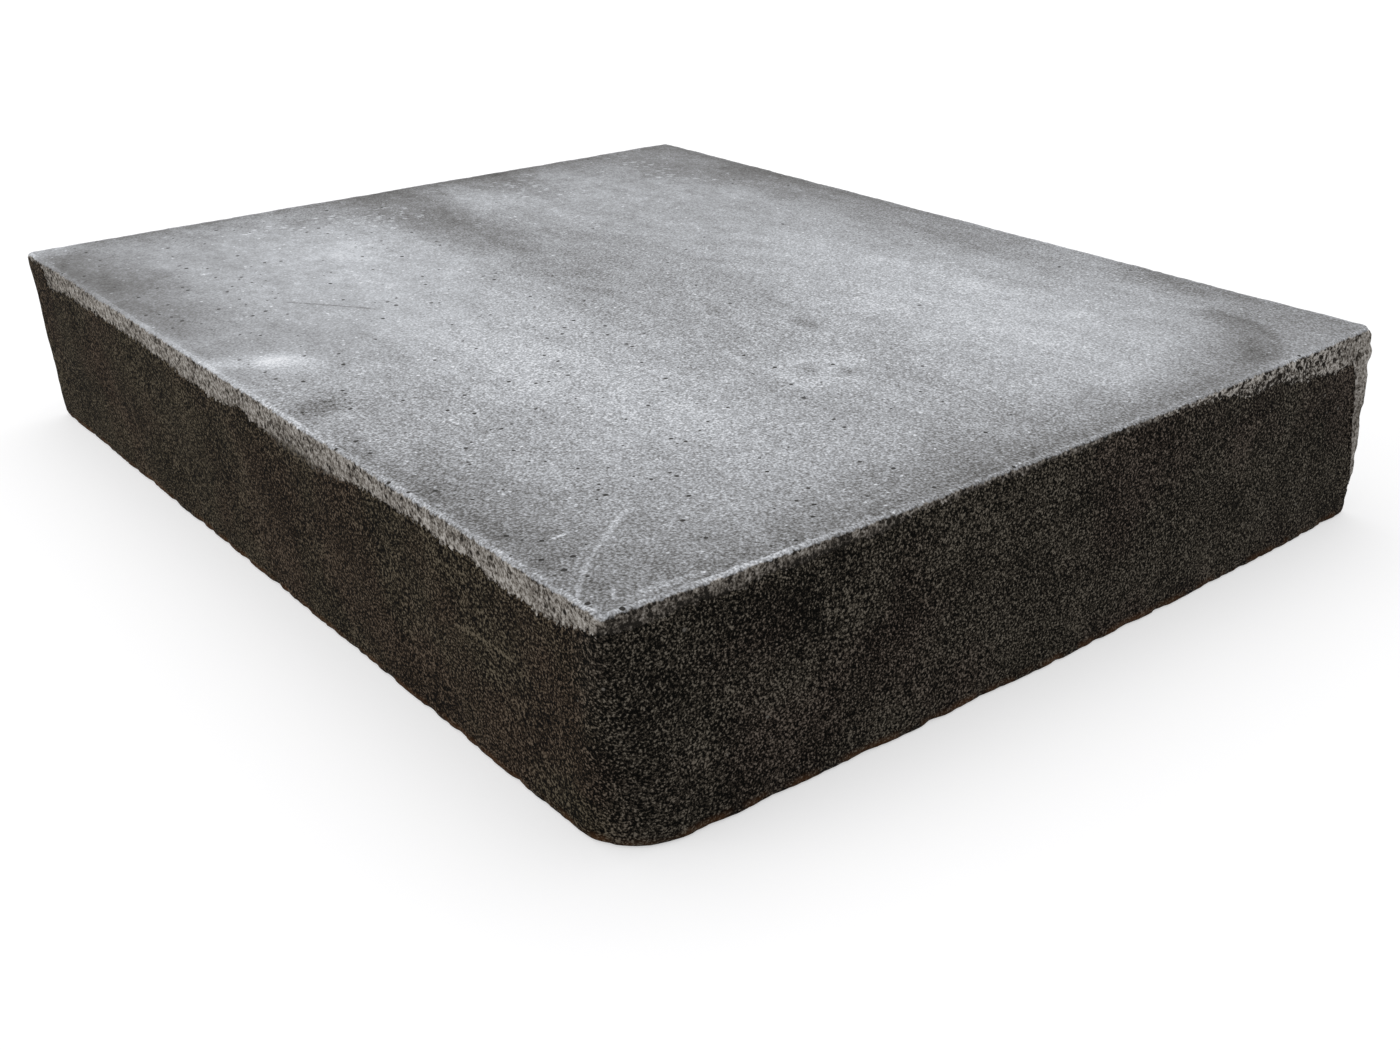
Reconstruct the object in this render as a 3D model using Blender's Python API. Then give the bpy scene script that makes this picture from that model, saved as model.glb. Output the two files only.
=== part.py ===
"""A granite bench slab for leatherwork, as its two bodies of material: the block of stone, with a honed top
and rough sawn sides, and the dark coat on those sides, which stops short of the top and leaves one corner bare.

Metres, +Z up. The origin is in the middle of the base, +X runs along the long side and +Y across it.
The front side faces -Y. The crowned end faces +X, and the bare corner is the one between it and the back.
"""

from math import cos, pi, radians, sin

import bmesh
import bpy
from mathutils import Matrix, Vector

MM = 0.001

# The block, corner to corner
LENGTH = 304.8 * MM
WIDTH = 228.6 * MM
THICKNESS = 50.8 * MM

# How its sawn faces stray from a true block
END_CROWN = 2.3 * MM  # the +X end swells this far past its own corners
FAR_END_LEAN = 1.7 * MM  # the -X end stands out this much further at the base than at the top
SIDE_WANDER = 0.22 * MM  # how far the rough sides ripple and bow to either side of their plane
RIPPLE_PITCH = 45 * MM  # from one ripple to the next
BOW_TURNS = 2.3  # how many times the slower bow turns on the way up a side

# Its edges
ARRIS = 0.8 * MM  # the dressed edge round the honed top
BASE_ROUND = 1.5 * MM  # the worn edge round the base
TOP_CORNER_RADIUS = 1.6 * MM  # every upright corner is this crisp at the top
WORN_CORNER_RADIUS = 14 * MM  # what the handled corner wears to at the base
KEPT_CORNER_RADIUS = 2 * MM  # what the other three wear to

# The chips that knocks have left where the arris meets a corner
CHIP_RADIUS = 6 * MM  # of the hollow that a chip leaves
CHIP_BITES = {1: 1.3 * MM, 2: 0.9 * MM}  # how deep it goes in from the tip of each corner that has one

# The coat on the sides
COAT_THICKNESS = 0.5 * MM
COAT_GAP = 0.3 * MM  # clearance between the coat and the stone that it covers
COAT_FOOT_TILT = radians(30)  # how far the coat's foot turns under the base's round edge
EDGE_TREMOR = 0.25 * MM  # the unsteadiness of the coat's upper edge
TREMOR_PITCH = 19 * MM
BARE_FOOT = 6 * MM  # the height at which the bare corner's strip begins
BARE_HALF_WIDTH = 4.9 * MM  # how far the strip has spread along each side at BARE_WIDTH_AT
BARE_WIDTH_AT = 42 * MM
BARE_CUT_OVERSHOOT = 10 * MM  # how far above the top the strip's cutter reaches

# The upper edge of the coat: its depth in mm below the top at these shares of each side's length
EDGE_DEPTHS = {
    "front": (
        (0, 1.2), (0.04, 1.2), (0.052, 7.4), (0.1, 5.7), (0.2, 5.4), (0.3, 5.7), (0.37, 6.1), (0.4, 7.2),
        (0.48, 7.2), (0.51, 4.9), (0.545, 7.4), (0.67, 7.2), (0.71, 5.4), (0.79, 4.8), (0.87, 5.4),
        (0.91, 6.6), (0.96, 6.5), (1, 4.4),
    ),
    "end": ((0, 4), (0.1, 3.5), (0.24, 3.2), (0.32, 1.6), (0.68, 1.6), (0.8, 4.8), (0.9, 7.2), (1, 8.6)),
    "back": ((0, 8.6), (0.12, 6.4), (0.4, 5.6), (0.7, 6.6), (1, 6)),
    "far_end": ((0, 6), (0.35, 6.8), (0.7, 5.6), (0.93, 6.4), (0.965, 1.2), (1, 1.2)),
}

# The sides in turn, anticlockwise from the front, each with what the corner before it wears to at the base
SIDES = ("front", "end", "back", "far_end")
SIDE_LENGTHS = (LENGTH, WIDTH, LENGTH, WIDTH)
CORNER_SIGNS = ((-1, -1), (1, -1), (1, 1), (-1, 1))
CORNER_BASE_RADII = (KEPT_CORNER_RADIUS, WORN_CORNER_RADIUS, KEPT_CORNER_RADIUS, KEPT_CORNER_RADIUS)
BARE_CORNER = 2
ROUND_THE_BLOCK = sum(SIDE_LENGTHS)
SIDE_RIPPLES = round(ROUND_THE_BLOCK / RIPPLE_PITCH)
EDGE_TREMORS = round(ROUND_THE_BLOCK / TREMOR_PITCH)

# How finely the forms are drawn
SIDE_STEP = 4.5 * MM
CORNER_STEPS = 6
BASE_ROUND_TILTS = tuple(radians(angle) for angle in (90, 60, 30))
FACE_LEVELS = (0, 0.25, 0.5, 0.75, 1)  # shares of the upright face

# The crown and the lean reach out unequally: this brings the middle of the whole length back to the origin
MIDDLE_X = (END_CROWN - FAR_END_LEAN / 2) / 2


def stations():
    """The outline's columns in order: the turns of each corner, then the steps along the side after it."""
    found = []
    for number, length in enumerate(SIDE_LENGTHS):
        found += [("corner", number, step / CORNER_STEPS) for step in range(CORNER_STEPS + 1)]
        steps = round(length / SIDE_STEP)
        found += [("side", number, step / steps) for step in range(1, steps)]
    return found


def distance_round(station):
    """How far round the block this column stands, from the front left corner, at the block's plain size."""
    kind, number, share = station
    return sum(SIDE_LENGTHS[:number]) + (share * SIDE_LENGTHS[number] if kind == "side" else 0)


def corner_round(number, height):
    """The centre and radius of an upright corner at this height: crisp at the top, worn at the base."""
    number = number % 4
    worn = CORNER_BASE_RADII[number] - TOP_CORNER_RADIUS
    radius = TOP_CORNER_RADIUS + worn * (1 - height / THICKNESS)
    sign_x, sign_y = CORNER_SIGNS[number]
    return Vector((sign_x * (LENGTH / 2 - radius), sign_y * (WIDTH / 2 - radius), height)), radius


def toward(turn):
    return Vector((cos(turn), sin(turn), 0))


def strayed(point):
    """The point of a true block, moved to where the crowned end and the leaning end carry it."""
    nearness = point.x / (LENGTH / 2)
    if nearness > 0:
        move = nearness * END_CROWN * (1 - (point.y / (WIDTH / 2)) ** 2)
    else:
        move = nearness * FAR_END_LEAN * (0.5 - point.z / THICKNESS)
    return point + Vector((move - MIDDLE_X, 0, 0))


def outline_point(station, height, out=0.0):
    """The block's outline in this column at this height, moved out from the stone by `out`."""
    kind, number, share = station
    centre, radius = corner_round(number, height)
    if kind == "corner":
        outward = toward(pi + (number + share) * pi / 2)
        point = centre + outward * radius
    else:
        outward = toward(3 * pi / 2 + number * pi / 2)
        next_centre, next_radius = corner_round(number + 1, height)
        point = (centre + outward * radius).lerp(next_centre + outward * next_radius, share)
    phase = 2 * pi * distance_round(station) / ROUND_THE_BLOCK
    rise = 2 * pi * height / THICKNESS
    wander = SIDE_WANDER * (sin(SIDE_RIPPLES * phase + rise) + sin(BOW_TURNS * rise) * cos(phase)) / 2
    return strayed(point + outward * (out + wander))


def edge_depth(station):
    """How far below the top the coat's upper edge lies in this column."""
    kind, number, share = station
    depths = EDGE_DEPTHS[SIDES[number]]
    depth = depths[0][1] * MM
    if kind == "corner":
        return depth
    for (start, first), (end, second) in zip(depths, depths[1:]):
        if start <= share <= end:
            eased = (1 - cos(pi * (share - start) / (end - start))) / 2
            depth = (first + (second - first) * eased) * MM
    tremor = EDGE_TREMOR * sin(EDGE_TREMORS * 2 * pi * distance_round(station) / ROUND_THE_BLOCK)
    return max(depth + tremor, ARRIS + COAT_GAP)


def add_loop(mesh, points):
    """A closed loop of edges through these points."""
    corners = [mesh.verts.new(point) for point in points]
    return [mesh.edges.new((corners[i - 1], corner)) for i, corner in enumerate(corners)]


def loft(mesh, loops):
    """Faces from each loop of edges to the next."""
    for lower, upper in zip(loops, loops[1:]):
        bmesh.ops.bridge_loops(mesh, edges=lower + upper)


def finished(mesh, name, colour, roughness):
    """The object of this name, with its faces turned out and its own material."""
    bmesh.ops.recalc_face_normals(mesh, faces=mesh.faces)
    data = bpy.data.meshes.new(name)
    mesh.to_mesh(data)
    mesh.free()
    piece = bpy.data.objects.new(name, data)
    bpy.context.scene.collection.objects.link(piece)
    material = bpy.data.materials.new(name)
    material.use_nodes = True
    surface = material.node_tree.nodes["Principled BSDF"]
    surface.inputs["Base Color"].default_value = (*colour, 1)
    surface.inputs["Roughness"].default_value = roughness
    surface.inputs["Metallic"].default_value = 0
    data.materials.append(material)
    return piece


def cut(piece, cutter):
    """Takes the cutter's form out of the piece. The cutter itself is only a guide."""
    cutter.hide_render = True
    cutter.display_type = "WIRE"
    boolean = piece.modifiers.new("cut_" + cutter.name, "BOOLEAN")
    boolean.operation = "DIFFERENCE"
    boolean.object = cutter


def guide(mesh, name):
    """A cutter's object, which has no material of its own."""
    data = bpy.data.meshes.new(name)
    mesh.to_mesh(data)
    mesh.free()
    cutter = bpy.data.objects.new(name, data)
    bpy.context.scene.collection.objects.link(cutter)
    return cutter


def stone_slab():
    """The block, lofted from its base round the worn edge, up the sawn faces and over the arris."""
    mesh = bmesh.new()
    columns = stations()
    levels = [
        (BASE_ROUND * (1 - sin(tilt)), -BASE_ROUND * (1 - cos(tilt))) for tilt in BASE_ROUND_TILTS
    ]
    face_height = THICKNESS - ARRIS - BASE_ROUND
    levels += [(BASE_ROUND + share * face_height, 0) for share in FACE_LEVELS]
    levels += [(THICKNESS, -ARRIS)]
    loops = [
        add_loop(mesh, [outline_point(column, height, out) for column in columns]) for height, out in levels
    ]
    loft(mesh, loops)
    for rim in (loops[0], loops[-1]):
        flat = bmesh.ops.contextual_create(mesh, geom=rim)["faces"]
        bmesh.ops.poke(mesh, faces=flat)
    slab = finished(mesh, "stone_slab", (0.38, 0.385, 0.4), 0.75)
    for corner in CHIP_BITES:
        cut(slab, corner_chip(corner))
    return slab


def corner_chip(number):
    """The ball that hollows a chip out of the tip where the arris meets this upright corner."""
    tip = outline_point(("corner", number, 0.5), THICKNESS)
    sign_x, sign_y = CORNER_SIGNS[number]
    outward = Vector((sign_x, sign_y, 1)).normalized()
    mesh = bmesh.new()
    place = Matrix.Translation(tip + outward * (CHIP_RADIUS - CHIP_BITES[number]))
    bmesh.ops.create_icosphere(mesh, subdivisions=3, radius=CHIP_RADIUS, matrix=place)
    return guide(mesh, f"corner_chip_{number}")


def side_coat():
    """The coat: one sheet that follows the stone at COAT_GAP from its foot to its wandering upper edge, given
    its thickness outward, and cut away at the bare corner."""
    mesh = bmesh.new()
    columns = stations()
    reach = BASE_ROUND + COAT_GAP
    foot_height = BASE_ROUND - reach * sin(COAT_FOOT_TILT)
    foot_out = reach * cos(COAT_FOOT_TILT) - BASE_ROUND
    loops = [add_loop(mesh, [outline_point(column, foot_height, foot_out) for column in columns])]
    for share in FACE_LEVELS:
        points = []
        for column in columns:
            top = THICKNESS - edge_depth(column)
            points.append(outline_point(column, BASE_ROUND + share * (top - BASE_ROUND), COAT_GAP))
        loops.append(add_loop(mesh, points))
    loft(mesh, loops)
    coat = finished(mesh, "side_coat", (0.027, 0.023, 0.017), 0.95)
    skin = coat.modifiers.new("thickness", "SOLIDIFY")
    skin.thickness = COAT_THICKNESS
    skin.offset = 1
    skin.use_even_offset = True
    cut(coat, bare_strip())
    return coat


def bare_strip():
    """The wedge that leaves the bare corner uncoated: a point at BARE_FOOT, spreading evenly upward."""
    sign_x, sign_y = CORNER_SIGNS[BARE_CORNER]
    diagonal = Vector((sign_x, sign_y, 0)).normalized()
    across = Vector((-diagonal.y, diagonal.x, 0))
    corner = strayed(Vector((sign_x * LENGTH / 2, sign_y * WIDTH / 2, 0)))
    spread = BARE_HALF_WIDTH * cos(pi / 4) / (BARE_WIDTH_AT - BARE_FOOT)
    top = THICKNESS + BARE_CUT_OVERSHOOT
    reach = 3 * BARE_HALF_WIDTH
    mesh = bmesh.new()
    outline = [corner + Vector((0, 0, BARE_FOOT))]
    for side in (-1, 1):
        outline.append(corner + across * side * spread * (top - BARE_FOOT) + Vector((0, 0, top)))
    triangle = mesh.faces.new([mesh.verts.new(point - diagonal * reach) for point in outline])
    pulled = bmesh.ops.extrude_face_region(mesh, geom=[triangle])["geom"]
    tips = [item for item in pulled if isinstance(item, bmesh.types.BMVert)]
    bmesh.ops.translate(mesh, verts=tips, vec=diagonal * 2 * reach)
    bmesh.ops.recalc_face_normals(mesh, faces=mesh.faces)
    return guide(mesh, "bare_strip")


for old in list(bpy.data.objects):
    bpy.data.objects.remove(old)
stone_slab()
side_coat()
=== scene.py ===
"""The looks of a granite bench slab for leatherwork: the stone block with its honed top, the dark coat on its sides,
and the floor, lights and camera that they are seen with. Metres, +Z up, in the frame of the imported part.
"""

from math import atan2, cos, hypot, pi, radians, sin

import bmesh
import bpy
from mathutils import Matrix, Vector, noise


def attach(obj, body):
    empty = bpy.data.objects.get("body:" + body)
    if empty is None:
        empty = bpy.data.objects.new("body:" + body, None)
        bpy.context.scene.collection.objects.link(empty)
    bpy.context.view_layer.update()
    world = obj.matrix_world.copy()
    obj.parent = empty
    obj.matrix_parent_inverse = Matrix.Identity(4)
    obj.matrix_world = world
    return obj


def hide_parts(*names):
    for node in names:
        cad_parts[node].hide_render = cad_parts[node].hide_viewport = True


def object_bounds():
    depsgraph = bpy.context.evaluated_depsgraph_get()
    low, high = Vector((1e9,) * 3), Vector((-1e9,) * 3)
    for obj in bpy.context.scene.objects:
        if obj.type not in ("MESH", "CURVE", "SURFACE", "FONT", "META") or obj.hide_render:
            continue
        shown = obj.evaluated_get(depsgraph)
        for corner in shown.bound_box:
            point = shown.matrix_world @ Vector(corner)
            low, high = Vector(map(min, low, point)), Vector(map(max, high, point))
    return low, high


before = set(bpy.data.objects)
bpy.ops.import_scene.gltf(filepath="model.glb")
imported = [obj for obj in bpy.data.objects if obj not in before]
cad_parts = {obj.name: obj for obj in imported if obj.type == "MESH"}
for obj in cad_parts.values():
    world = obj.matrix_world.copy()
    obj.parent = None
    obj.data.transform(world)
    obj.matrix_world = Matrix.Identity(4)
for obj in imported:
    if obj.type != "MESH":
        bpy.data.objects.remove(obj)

cad_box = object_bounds()

# ---------------------------------------------------------------------------------------------------------------------
# The stone block. Fine-grained grey granite, sawn to size: the sides are left rough from the saw, the top is honed flat
# and its edge is dressed by hand. It lies loose on the bench, so nothing fixes it.

MM = 0.001
LENGTH, WIDTH, THICKNESS = 304.8 * MM, 228.6 * MM, 50.8 * MM
END_CROWN = 2.3 * MM  # the +X end swells this far past its own corners
FAR_END_LEAN = 1.7 * MM  # the -X end stands out this much further at the base than at the top
MIDDLE_X = (END_CROWN - FAR_END_LEAN / 2) / 2  # brings the middle of the whole length back to the origin
SIDE_WANDER = 0.22 * MM
SIDE_RIPPLES = 24  # round the whole block
BOW_TURNS = 2.3  # how many times the slower bow turns on the way up a side
PROUD = 0.4 * MM  # the stone of the sides reaches out this far to meet its coat, with no clearance between them
ARRIS = 0.8 * MM
BASE_ROUND = 1.5 * MM
TOP_CORNER_RADIUS = 1.6 * MM
CORNER_BASE_RADII = (2 * MM, 14 * MM, 2 * MM, 2 * MM)  # what each upright corner has worn to at the base
CORNER_SIGNS = ((-1, -1), (1, -1), (1, 1), (-1, 1))  # front left, near, right, back
SIDE_LENGTHS = (LENGTH, WIDTH, LENGTH, WIDTH)  # front, end, back, far end
ROUND = sum(SIDE_LENGTHS)
BARE_CORNER = 2

# The upper edge of the coat: its depth in mm below the top at these shares of each side's length
EDGE_DEPTHS = (
    ((0, 1.2), (0.04, 1.2), (0.052, 7.4), (0.1, 5.7), (0.2, 5.4), (0.3, 5.7), (0.37, 6.1), (0.4, 7.2), (0.48, 7.2),
     (0.51, 4.9), (0.545, 7.4), (0.67, 7.2), (0.71, 5.4), (0.79, 4.8), (0.87, 5.4), (0.91, 6.6), (0.96, 6.5), (1, 4.4)),
    ((0, 4), (0.1, 3.5), (0.24, 3.2), (0.32, 1.6), (0.68, 1.6), (0.8, 4.8), (0.9, 7.2), (1, 8.6)),
    ((0, 8.6), (0.12, 6.4), (0.4, 5.6), (0.7, 6.6), (1, 6)),
    ((0, 6), (0.35, 6.8), (0.7, 5.6), (0.93, 6.4), (0.965, 1.2), (1, 1.2)),
)
BARE_FOOT = 6 * MM  # the height at which the bare corner's strip begins
BARE_SPREAD = 5.4 / 36  # how far it spreads along each side for each step up
LEAST_DEPTH = 1.1  # mm: the coat comes no nearer to the top than this
TREMORS = 56  # round the whole block

COLUMN_STEP = 1.05 * MM  # along the sides
CORNER_TURNS = (8, 18, 16, 8)  # columns round each corner
CORNER, SIDE = "corner", "side"  # the two kinds of column


def columns_round():
    """The outline's columns in order, each as its kind, the number of its corner or side, and the share along it."""
    found = []
    for number, (length, turns) in enumerate(zip(SIDE_LENGTHS, CORNER_TURNS)):
        found += [(CORNER, number, turn / turns) for turn in range(turns + 1)]
        steps = round(length / COLUMN_STEP)
        found += [(SIDE, number, step / steps) for step in range(1, steps)]
    return found


def distance_round(column):
    """How far round the block this column is, from the first corner. A corner has no length of its own."""
    kind, number, share = column
    return sum(SIDE_LENGTHS[:number]) + (share * SIDE_LENGTHS[number] if kind == SIDE else 0)


def toward(turn):
    return Vector((cos(turn), sin(turn), 0))


def corner_round(number, height):
    """The centre and the radius of an upright corner at this height: crisp at the top and worn at the base."""
    number = number % 4
    radius = TOP_CORNER_RADIUS + (CORNER_BASE_RADII[number] - TOP_CORNER_RADIUS) * (1 - height / THICKNESS)
    sign_x, sign_y = CORNER_SIGNS[number]
    return Vector((sign_x * (LENGTH / 2 - radius), sign_y * (WIDTH / 2 - radius), height)), radius


def strayed(point):
    """The point of a true block, moved to where the crowned end and the leaning end carry it."""
    nearness = point.x / (LENGTH / 2)
    if nearness > 0:
        move = nearness * END_CROWN * (1 - (point.y / (WIDTH / 2)) ** 2)
    else:
        move = nearness * FAR_END_LEAN * (0.5 - point.z / THICKNESS)
    return point + Vector((move - MIDDLE_X, 0, 0))


def outward_of(column):
    kind, number, share = column
    return toward(pi + (number + share) * pi / 2) if kind == CORNER else toward(3 * pi / 2 + number * pi / 2)


def outline_point(column, height, out=0.0):
    """The block's outline in this column at this height, moved out from the stone by `out`."""
    kind, number, share = column
    centre, radius = corner_round(number, height)
    outward = outward_of(column)
    point = centre + outward * radius
    if kind == SIDE:
        next_centre, next_radius = corner_round(number + 1, height)
        point = point.lerp(next_centre + outward * next_radius, share)
    phase = 2 * pi * distance_round(column) / ROUND
    rise = 2 * pi * height / THICKNESS
    wander = SIDE_WANDER * (sin(SIDE_RIPPLES * phase + rise) + sin(BOW_TURNS * rise) * cos(phase)) / 2
    return strayed(point + outward * (out + wander))


def coat_top(column):
    """The height of the coat's upper edge in this column. At the bare corner it drops in a V nearly to the base."""
    kind, number, share = column
    depths = EDGE_DEPTHS[number]
    depth = depths[0][1]
    if kind == SIDE:
        for (start, first), (end, second) in zip(depths, depths[1:]):
            if start <= share <= end:
                depth = first + (second - first) * (1 - cos(pi * (share - start) / (end - start))) / 2
    place = distance_round(column) / ROUND
    tremor = 0.25 * sin(TREMORS * 2 * pi * place) + 0.22 * noise.noise(Vector((place * 700, 3, 0)))
    top = THICKNESS - max(depth + tremor, LEAST_DEPTH) * MM
    corner = sum(SIDE_LENGTHS[:BARE_CORNER])
    aside = abs(distance_round(column) - corner)
    if kind == CORNER and number == BARE_CORNER:
        aside = abs(share - 0.5) * TOP_CORNER_RADIUS
    wobble = 0.5 * MM * noise.noise(Vector((place * 500, 0, 7)))
    return min(top, BARE_FOOT + max(aside + wobble, 0) / BARE_SPREAD)


def smooth_step(low, high, value):
    share = min(max((value - low) / (high - low), 0), 1)
    return share * share * (3 - 2 * share)


def hollows(point, pitch, size):
    """From 0 to 1 at the middle of scattered round hollows, whose centres are about `pitch` apart."""
    distance = noise.voronoi(point / pitch, distance_metric="DISTANCE", exponent=2.5)[0][0] * pitch
    return 1 - smooth_step(0, size, distance)


def rough_face(point, porous, bumpy):
    """How far the rough sawn stone stands out of its plane here: a fine tooth, drag marks, pores and lumps."""
    drawn_out = Vector((point.x, point.y, point.z * 0.4))
    tooth = 0.07 * noise.noise(drawn_out / (1.1 * MM)) + 0.09 * noise.noise(drawn_out / (2.9 * MM))
    pores = 0.16 * hollows(point, 3.1 * MM, 1.0 * MM)
    if porous:
        wide = hollows(point + Vector((1, 1, 1)), 3.4 * MM, 1.6 * MM)
        pores += 0.75 * porous * max(hollows(point, 2.3 * MM, 1.15 * MM), wide)
    lumps = bumpy * (0.75 + 0.55 * noise.noise(point / (4.2 * MM)) + 0.3 * noise.noise(point / (1.9 * MM)))
    return (tooth - pores + lumps) * MM


def porous_share(point):
    """From 0 to 1 on the last third of the crowned end, up to the bare corner, which is full of open pores."""
    return smooth_step(34 * MM, 62 * MM, point.y) * smooth_step(140 * MM, 150 * MM, point.x)


BARE_EDGE_X, BARE_EDGE_Y = 151 * MM, 114 * MM  # where the bare corner's upright edge stands


def bumpy_share(point):
    """From 0 to 1 on the lumpy bare corner. Its foot is plain, and its top is nearly so."""
    beside = 1 - smooth_step(3 * MM, 9 * MM, hypot(point.x - BARE_EDGE_X, point.y - BARE_EDGE_Y))
    under_top = 1 - 0.9 * smooth_step(42 * MM, 50 * MM, point.z)
    return beside * smooth_step(5 * MM, 12 * MM, point.z) * under_top


columns = columns_round()
tops = [coat_top(column) for column in columns]
slopes = []
for i, column in enumerate(columns):
    ahead, behind = (i + 1) % len(columns), i - 1
    run = (outline_point(columns[ahead], tops[i]) - outline_point(columns[behind], tops[i])).length
    slopes.append((tops[ahead] - tops[behind]) / max(run, 0.05 * MM))


def below_edge(i, height):
    """How far this height of column i is from the coat's upper edge in mm, above 0 under the coat."""
    return (tops[i] - height) / hypot(1, slopes[i]) / MM


def covered_share(under):
    """From 0 to 1 where the coat lies full on the stone, this many mm below its upper edge."""
    return smooth_step(0.2, 2.5, under)


FILLED = 0.6  # the share of the roughness that the coat fills
CHIP_RADIUS = 6 * MM
CHIP_BITES = {1: 1.3 * MM, 2: 0.9 * MM}  # how deep a chip goes into the top of each of these corners
chips = []
for number, bite in CHIP_BITES.items():
    tip = outline_point((CORNER, number, 0.5), THICKNESS)
    outward = Vector((*CORNER_SIGNS[number], 1)).normalized()
    chips.append(tip + outward * (CHIP_RADIUS - bite))


def edge_nick(point):
    """How much of the dressed edge is knocked off here: a soft waviness with a few small chips."""
    wave = 0.16 * (1 + noise.noise(point / (9 * MM))) + 0.12 * noise.noise(point / (2.2 * MM))
    chip = 0.5 * max(noise.noise(point / (5 * MM) + Vector((9, 0, 0))) - 0.35, 0)
    return max(wave + chip, 0) * MM


def base_nick(point):
    """How far the lower edge is knocked in here: shallow bites a few mm long."""
    low = 1 - smooth_step(0, 6 * MM, point.z)
    if not low:
        return 0
    place = Vector((point.x, point.y, 0))
    bite = 0.9 * max(noise.noise(place / (6 * MM)), 0) + 0.45 * max(noise.noise(place / (2.6 * MM)), 0)
    return low * bite * MM


def kept_in(point):
    """The point, held inside the box of the CAD model."""
    for axis in range(3):
        point[axis] = min(max(point[axis], cad_box[0][axis]), cad_box[1][axis])
    return point


# The section of the block from the base to the honed top: each row's height, its step out from the outline, and
# the share of the way to the middle of the face
SIDE_ROWS = 31
BAND_FOOT, BAND_ROWS = 41 * MM, 15
BASE_TILTS, ARRIS_TILTS = (90, 60, 30), (22, 45, 68, 90)  # degrees round the edges of the base and of the top
BASE_SHARES = (0.6, 0.1, 0.02)  # of the way from the base's edge to its middle
UNDERSIDE_BARE = 20  # mm past the coat's edge: the coat laps only a little way under the base
TOP_SHARES = (0.006, 0.013, 0.025, 0.05, 0.1, 0.3, 0.6)  # of the way from the rim to the middle of the honed top
SUNK = 0.15  # mm that the stone's skin gives way under the coat, so that it stays hidden
RIM_REACH = 2.4 * MM  # how far from the rim the dressed edge is nicked
stone_rows = [(0, -BASE_ROUND, share) for share in BASE_SHARES]
stone_rows += [
    (BASE_ROUND * (1 - sin(radians(tilt))), -BASE_ROUND * (1 - cos(radians(tilt))), 0) for tilt in BASE_TILTS
]
stone_rows += [(BASE_ROUND + (BAND_FOOT - BASE_ROUND) * row / SIDE_ROWS, 0, 0) for row in range(SIDE_ROWS)]
face_top = THICKNESS - ARRIS
stone_rows += [(BAND_FOOT + (face_top - BAND_FOOT) * row / BAND_ROWS, 0, 0) for row in range(BAND_ROWS + 1)]
stone_rows += [
    (face_top + ARRIS * sin(radians(tilt)), -ARRIS * (1 - cos(radians(tilt))), 0) for tilt in ARRIS_TILTS
]
stone_rows += [(THICKNESS, -ARRIS, share) for share in TOP_SHARES]


def stone_point(i, row):
    """Where the stone's skin is in this column and row, with its roughness, its nicks and its chips."""
    height, out, inward = stone_rows[row]
    column = columns[i]
    point = outline_point(column, height, out)
    outward = outward_of(column)
    point -= outward * base_nick(point)
    on_face = smooth_step(-1.2 * MM, 0, out) * smooth_step(0, 2 * MM, height)
    if on_face:
        point += outward * on_face * PROUD
        covered = covered_share(below_edge(i, height))
        roughness = rough_face(point, porous_share(point), bumpy_share(point))
        point += outward * on_face * roughness * (1 - FILLED * covered)
        point -= outward * on_face * covered * SUNK * MM
    rim = outline_point(column, THICKNESS)
    near_edge = 1 - smooth_step(0, RIM_REACH, hypot(THICKNESS - height, (point.xy - rim.xy).length))
    if near_edge:
        point -= (outward + Vector((0, 0, 1))) * near_edge * edge_nick(rim) * 0.7
    for centre in chips:
        away = point - centre
        if away.length < CHIP_RADIUS:
            point = centre + away.normalized() * (CHIP_RADIUS + 0.12 * MM * noise.noise(point / (1.3 * MM)))
    if inward:
        middle = Vector((0, 0, point.z))
        point = point.lerp(middle, inward)
        if height > THICKNESS / 2:
            point.z += (THICKNESS - point.z) * smooth_step(0, 0.012, inward)
    point.z = min(max(point.z, 0), THICKNESS)
    return kept_in(point)


def rim_distance(point, height):
    """How far inside the top's rim this point is in mm, or below 0 down the sides."""
    if height < THICKNESS - 0.01 * MM:
        return -(THICKNESS - height) / MM
    end = LENGTH / 2 + END_CROWN * (1 - (point.y / (WIDTH / 2)) ** 2) - MIDDLE_X
    far_end = LENGTH / 2 - FAR_END_LEAN / 2 + MIDDLE_X
    inside = min(end - point.x, far_end + point.x, WIDTH / 2 - abs(point.y))
    return max(inside, 0) / MM


def wrapped_sheet(row_count, place):
    """A grid whose columns go round the block and whose rows follow its section, with its side seam closed."""
    mesh = bmesh.new()
    bmesh.ops.create_grid(mesh, x_segments=len(columns), y_segments=row_count - 1, size=0.5)
    under = mesh.verts.layers.float.new("below_edge")
    rim = mesh.verts.layers.float.new("rim_distance")
    for vert in mesh.verts:
        i = round((vert.co.x + 0.5) * len(columns)) % len(columns)
        row = round((vert.co.y + 0.5) * (row_count - 1))
        vert.co, vert[under], vert[rim] = place(i, row)
    bmesh.ops.remove_doubles(mesh, verts=mesh.verts, dist=0.0001 * MM)
    return mesh


def add_piece(mesh, name, material, body, node):
    """Make this mesh a piece that rides on its body in place of its CAD node."""
    bmesh.ops.recalc_face_normals(mesh, faces=mesh.faces)
    for face in mesh.faces:
        face.smooth = True
    data = bpy.data.meshes.new(name)
    mesh.to_mesh(data)
    mesh.free()
    data.materials.append(material)
    piece = bpy.data.objects.new(name, data)
    bpy.context.scene.collection.objects.link(piece)
    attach(piece, body)
    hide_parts(node)


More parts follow.
